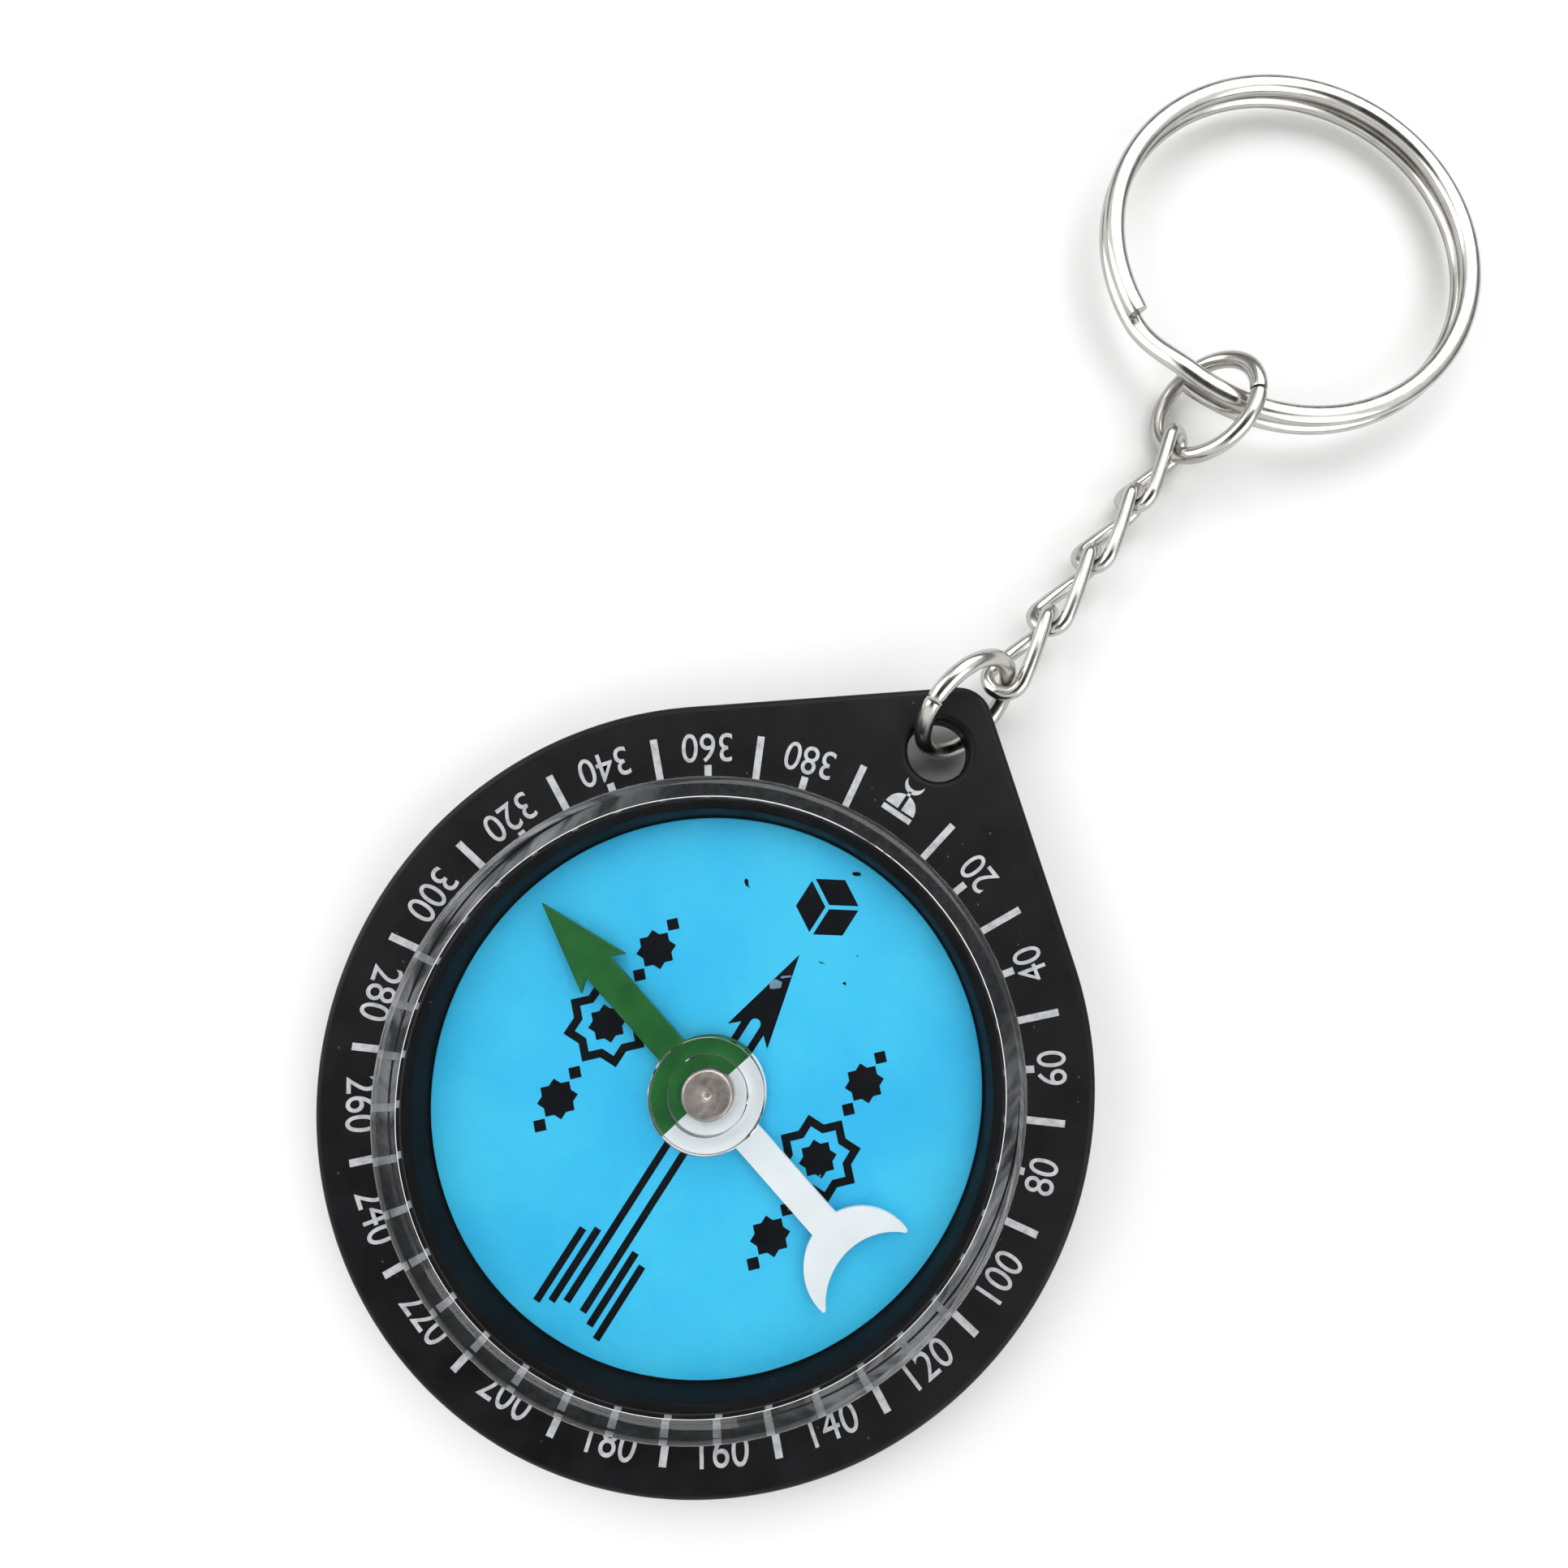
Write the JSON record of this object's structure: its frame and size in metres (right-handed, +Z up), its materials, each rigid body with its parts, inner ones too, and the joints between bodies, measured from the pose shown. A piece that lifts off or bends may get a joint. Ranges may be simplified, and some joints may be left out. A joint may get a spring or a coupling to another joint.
{
  "type": "key chain compass",
  "caption": "Drop-shaped pocket compass with a printed dial and scale, a pivoted arrow-and-crescent needle under a clear lens, and a twisted link chain with a split key ring.",
  "frame": {"origin": "compass axis at the resting plane under the foot", "axes": "+Y towards the tip, chain and split ring, +Z up through the lens, +X to the right of the dial"},
  "size_m": [0.045, 0.1023, 0.0081],
  "materials": {
    "black_plastic": "satin moulded",
    "blue_card": "printed",
    "clear_plastic": "clear polished",
    "steel": "ground",
    "painted_needle": "green and white paint",
    "brass": "plated",
    "nickel_wire": "bright nickel plate"
  },
  "bodies": {
    "compass": {"base_plate": "black_plastic", "dial_disc": "blue_card", "lens": "clear_plastic", "pivot_pin": "steel"},
    "needle": {"needle_blade": "painted_needle", "bearing_cup": "brass"},
    "lower_ring": {"lower_jump_ring": "nickel_wire"},
    "link_1": {"chain_link_1": "nickel_wire"},
    "link_2": {"chain_link_2": "nickel_wire"},
    "link_3": {"chain_link_3": "nickel_wire"},
    "link_4": {"chain_link_4": "nickel_wire"},
    "upper_ring": {"upper_jump_ring": "nickel_wire"},
    "key_ring": {"split_ring": "nickel_wire"}
  },
  "joints": [
    {"name": "needle_spin", "type": "hinge", "parent": "compass", "child": "needle", "pos_m": [0, 0, 0.006], "axis": [0, 0, 1], "continuous": true},
    {"name": "lower_ring_swing", "type": "hinge", "parent": "compass", "child": "lower_ring", "pos_m": [0, 0.0238, 0.0041], "axis": [0, 0, 1], "range_deg": [-30, 30]},
    {"name": "link_1_swing", "type": "hinge", "parent": "lower_ring", "child": "link_1", "pos_m": [0.00103, 0.0304, 0.00299], "axis": [0, 0, 1], "range_deg": [-20, 8]},
    {"name": "link_2_swing", "type": "hinge", "parent": "link_1", "child": "link_2", "pos_m": [0.0012, 0.03506, 0.0027], "axis": [0, 0, 1], "range_deg": [-15, 15]},
    {"name": "link_3_swing", "type": "hinge", "parent": "link_2", "child": "link_3", "pos_m": [0.00138, 0.04025, 0.00239], "axis": [0, 0, 1], "range_deg": [-15, 15]},
    {"name": "link_4_swing", "type": "hinge", "parent": "link_3", "child": "link_4", "pos_m": [0.00156, 0.04544, 0.00207], "axis": [0, 0, 1], "range_deg": [-15, 15]},
    {"name": "upper_ring_swing", "type": "hinge", "parent": "link_4", "child": "upper_ring", "pos_m": [0.00171, 0.04978, 0.00181], "axis": [0, 0, 1], "range_deg": [-6, 25]},
    {"name": "key_ring_lift", "type": "hinge", "parent": "upper_ring", "child": "key_ring", "pos_m": [0.00208, 0.05399, 0.00241], "axis": [1, 0, 0], "range_deg": [0, 70]}
  ]
}
